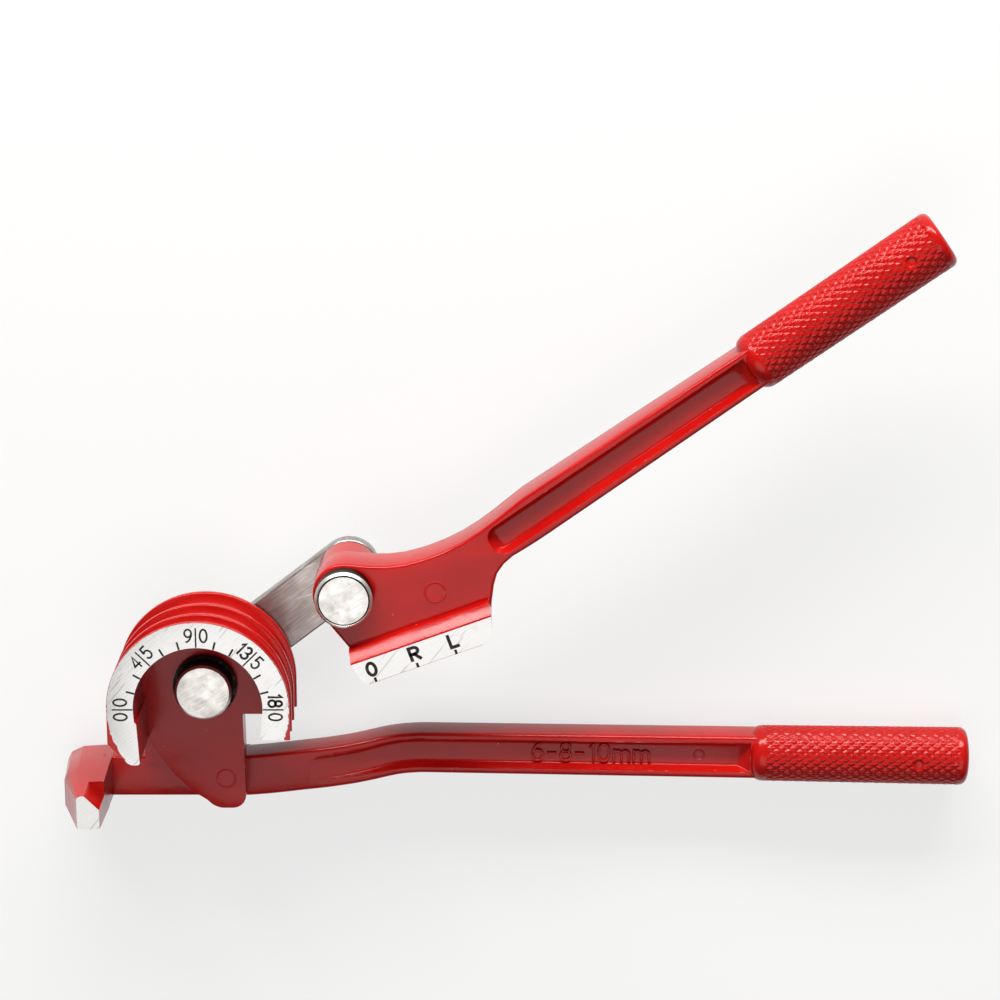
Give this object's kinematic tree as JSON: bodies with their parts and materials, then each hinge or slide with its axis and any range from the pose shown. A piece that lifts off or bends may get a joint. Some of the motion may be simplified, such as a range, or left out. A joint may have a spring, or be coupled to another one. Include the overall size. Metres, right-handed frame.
{
  "type": "lever tube bender",
  "caption": "Hand lever tube bender: half-round former with three grooves and a degree dial, hook, link plate and a swinging lever with a grooved shoe.",
  "frame": {"origin": "middle of the peened back face of the former's rivet, on the axis of the half-round former", "axes": "+Z along both pivots towards the dial side; +X along the forming handle towards its grip; +Y away from the handle, over the crown of the former"},
  "size_m": [0.2848, 0.1886, 0.0467],
  "materials": {
    "red_casting": "gloss red paint on die-cast aluminium, dial and shoe faces ground bare",
    "link_steel": "satin zinc-plated steel",
    "rivet_steel": "turned bright steel",
    "dark_steel": "blackened steel"
  },
  "bodies": {
    "forming_body": {"forming_handle": "red_casting", "former_rivet": "rivet_steel", "former_head_washer": "dark_steel", "former_thrust_washer": "dark_steel"},
    "link_body": {"link_plate": "link_steel", "lever_rivet": "rivet_steel", "lever_thrust_washer": "dark_steel"},
    "lever_body": {"lever_handle": "red_casting"}
  },
  "joints": [
    {"name": "link_swing", "type": "hinge", "parent": "forming_body", "child": "link_body", "pos_m": [0, 0, 0], "axis": [0, 0, 1], "range_deg": [-37.7, 142.3]},
    {"name": "lever_pivot", "type": "hinge", "parent": "link_body", "child": "lever_body", "pos_m": [0.04423, 0.03418, 0], "axis": [0, 0, 1], "range_deg": [-72.3, 90]}
  ]
}
